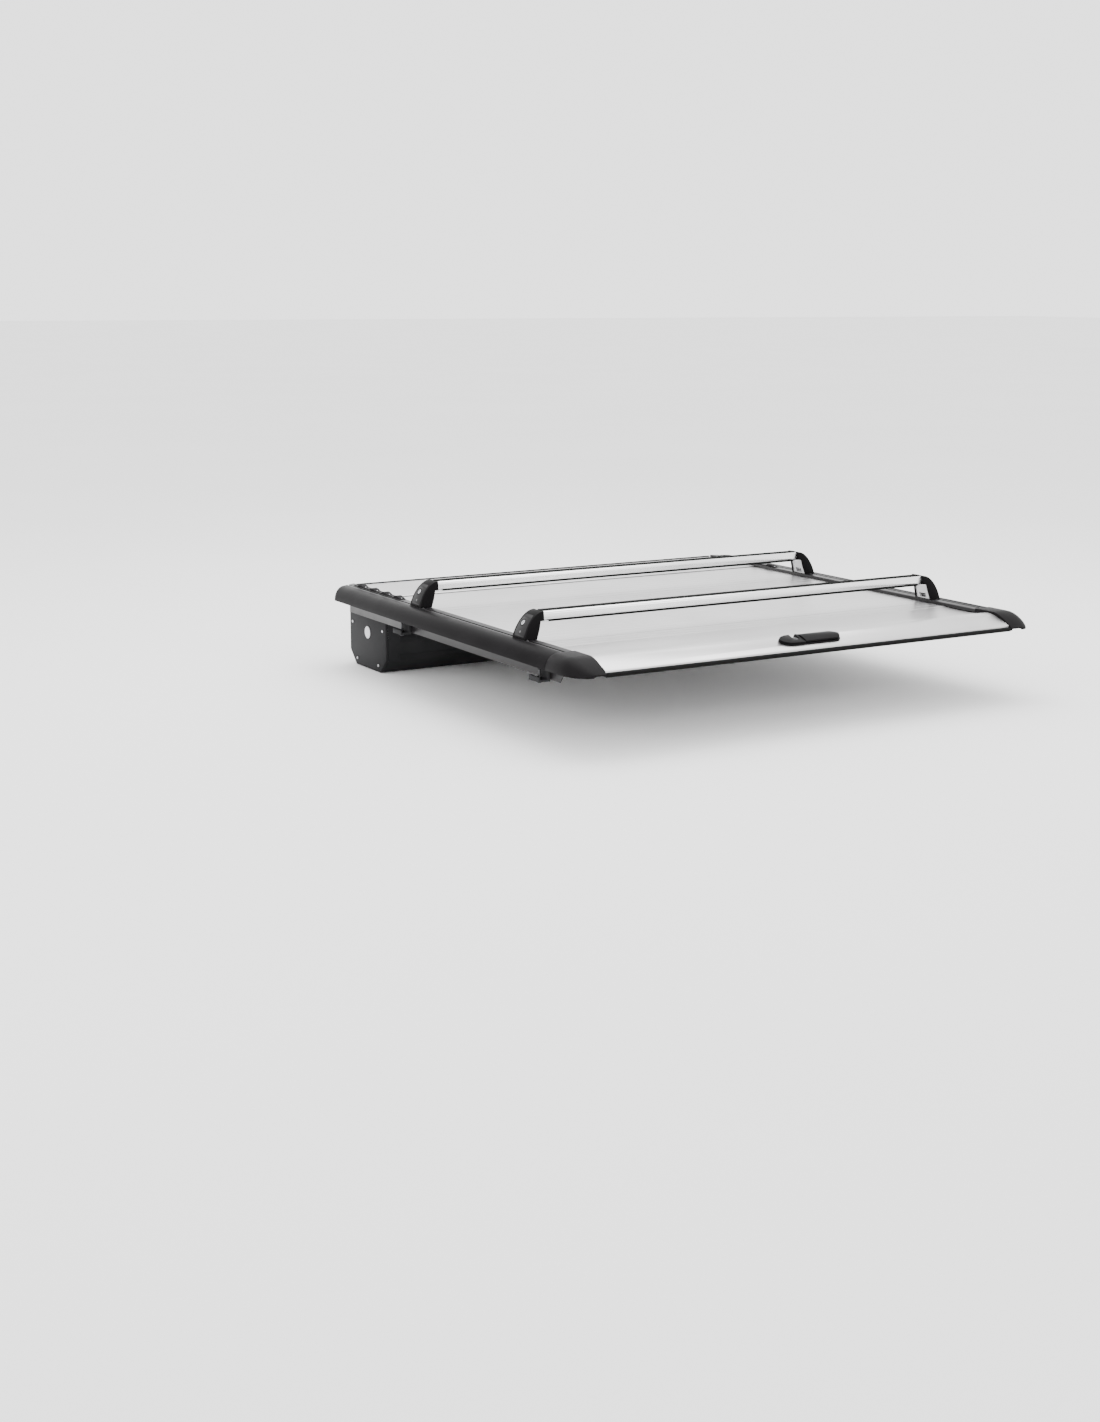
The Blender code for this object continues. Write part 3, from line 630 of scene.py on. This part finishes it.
def inlay(name, side, middle, body):
    """A lighter panel on the cover's outer face, set in a dark rim."""
    lip = 0.0006
    sunk, edge = -0.0006, 0.0002
    rings = []
    for i in range(INLAY_STEPS + 1):
        share = INLAY_FROM + (INLAY_TO - INLAY_FROM) * i / INLAY_STEPS
        point, out = cover_face(name, share)
        rim = 0.0065 + 0.004 * (2 * i / INLAY_STEPS - 1) ** 6
        reach = (FOOT_LONG_BASE + (FOOT_LONG_TOP - FOOT_LONG_BASE) * share) - rim
        section = (
            (-reach, sunk), (-reach, edge), (-reach + lip, lip),
            (reach - lip, lip), (reach, edge), (reach, sunk),
        )
        ring = []
        for across, lift in section:
            spot = point + out * lift
            ring.append((side * spot.x, middle + across, spot.z))
        rings.append(ring)
    piece(f"{name}_inlay", loft(rings), "inlay", body)


def foot_lock(name, turn, body):
    """The lock's keyway, drawn as a black block in the seal rubber's look for the shade inside
    the slot (painted shade), and the collar round it.
    """
    centre = Vector(joint(f"{name}_key_turn")["pos_m"])
    bm = bmesh.new()
    bmesh.ops.create_cube(bm, size=1.0)
    wide, tall, deep = KEYWAY
    for vert in bm.verts:
        size = Vector((wide * vert.co.x, tall * vert.co.y, deep * vert.co.z + KEYWAY_RISE))
        vert.co = centre + turn @ size
    # The keyway block takes the black seal rubber look as painted shade for the slot's dark
    # inside.
    piece(f"{name}_keyway", bm, "rubber", f"{name}_key")
    steps = 32
    rings = []
    for i in range(steps):
        a = 2 * math.pi * i / steps
        rings.append([
            centre + turn @ Vector((r * math.cos(a), r * math.sin(a), h)) for r, h in LOCK_COLLAR
        ])
    piece(f"{name}_lock_collar", loft(rings, True), "foot", body)


def bar_screws(name, side, middle, body):
    """Two cap screws up through the bracket's lip into the bar."""
    low, high = node_low(f"{name}_foot"), node_high(f"{name}_foot")
    lip = high.x if side < 0 else low.x
    bm = bmesh.new()
    for across in (-BAR_SCREW_SPREAD, BAR_SCREW_SPREAD):
        place = (lip + side * BAR_SCREW_IN, middle + across, high.z - BRACKET_LIP)
        cap_screw(bm, place, (0, 0, -1), BAR_SCREW)
    piece(f"{name}_bar_screws", bm, "steel", body)


def foot(name, side, body):
    softened(f"{name}_foot", "foot", body)
    softened(f"{name}_foot_cover", "foot_cover", body)
    softened(f"{name}_foot_lock", "foot_lock", f"{name}_key")
    low, high = node_low(f"{name}_foot_cover"), node_high(f"{name}_foot_cover")
    middle = (low.y + high.y) / 2
    inlay(name, side, middle, body)

    point, out = cover_face(name, INLAY_PLUG)
    bm = bmesh.new()
    turned(FOOT_PLUG, (side * point.x, middle, point.z), (side * out.x, 0, out.z), 20, bm)
    piece(f"{name}_plug", bm, "plate", body)

    _, out = cover_face(name, LOCK_SHARE)
    turn = Vector((side * out.x, 0, out.z)).to_track_quat("Z", "Y")
    foot_lock(name, turn, body)
    bar_screws(name, side, middle, body)


# ---------------------------------------------------------------- stage

def camera():
    yaw, pitch, roll = (math.radians(a) for a in (CAMERA_YAW, CAMERA_PITCH, CAMERA_ROLL))
    flat = math.cos(pitch)
    ahead = Vector((math.sin(yaw) * flat, math.cos(yaw) * flat, -math.sin(pitch)))
    level = Vector((math.cos(yaw), -math.sin(yaw), 0))
    up = level.cross(ahead)
    right = math.cos(roll) * level + math.sin(roll) * up
    above = math.cos(roll) * up - math.sin(roll) * level
    data = bpy.data.cameras.new("camera")
    data.lens = CAMERA_LENS
    data.clip_end = 200
    made = bpy.data.objects.new("camera", data)
    bpy.context.scene.collection.objects.link(made)
    turn = Matrix((right, above, -ahead)).transposed().to_4x4()
    made.matrix_world = Matrix.Translation(CAMERA_PLACE) @ turn
    bpy.context.scene.camera = made


def floor():
    bm = bmesh.new()
    bmesh.ops.create_grid(bm, x_segments=2, y_segments=2, size=FLOOR_HALF)
    bmesh.ops.translate(bm, verts=bm.verts, vec=(0, 0, CAD_BOX[0][2] - FLOOR_DROP))
    mesh = bpy.data.meshes.new("floor")
    bm.to_mesh(mesh)
    bm.free()
    made = bpy.data.objects.new("floor", mesh)
    bpy.context.scene.collection.objects.link(made)
    look = Look("pale_floor", 0.9)
    look.colours(look.noise(0.6, detail=2.0), (0.86, 0.86, 0.86), (0.88, 0.88, 0.88))
    mesh.materials.append(look.material)


def area_light(name, place, aim, size, power):
    data = bpy.data.lights.new(name, "AREA")
    data.shape = "RECTANGLE"
    data.size, data.size_y = size
    data.energy = power
    made = bpy.data.objects.new(name, data)
    bpy.context.scene.collection.objects.link(made)
    turn = (Vector(aim) - Vector(place)).to_track_quat("-Z", "Y")
    made.matrix_world = Matrix.Translation(place) @ turn.to_matrix().to_4x4()


def lights():
    area_light("top_softbox", (0.3, 0.6, 3.6), (0, 0.1, 0), (4.2, 3.0), 160)
    area_light("left_softbox", (-4.2, -1.6, 2.2), (0, 0, 0.1), (2.0, 1.2), 45)
    area_light("rear_softbox", (1.4, -4.6, 2.4), (0, -0.3, 0.1), (2.6, 1.0), 40)
    world = bpy.data.worlds.new("studio")
    world.use_nodes = True
    sky = world.node_tree.nodes["Background"]
    sky.inputs["Color"].default_value = (1.0, 1.0, 1.0, 1.0)
    sky.inputs["Strength"].default_value = WORLD_STRENGTH
    bpy.context.scene.world = world


rails()
canister()
curtain()
end_panel()
handle()
crossbars()
camera()
floor()
lights()
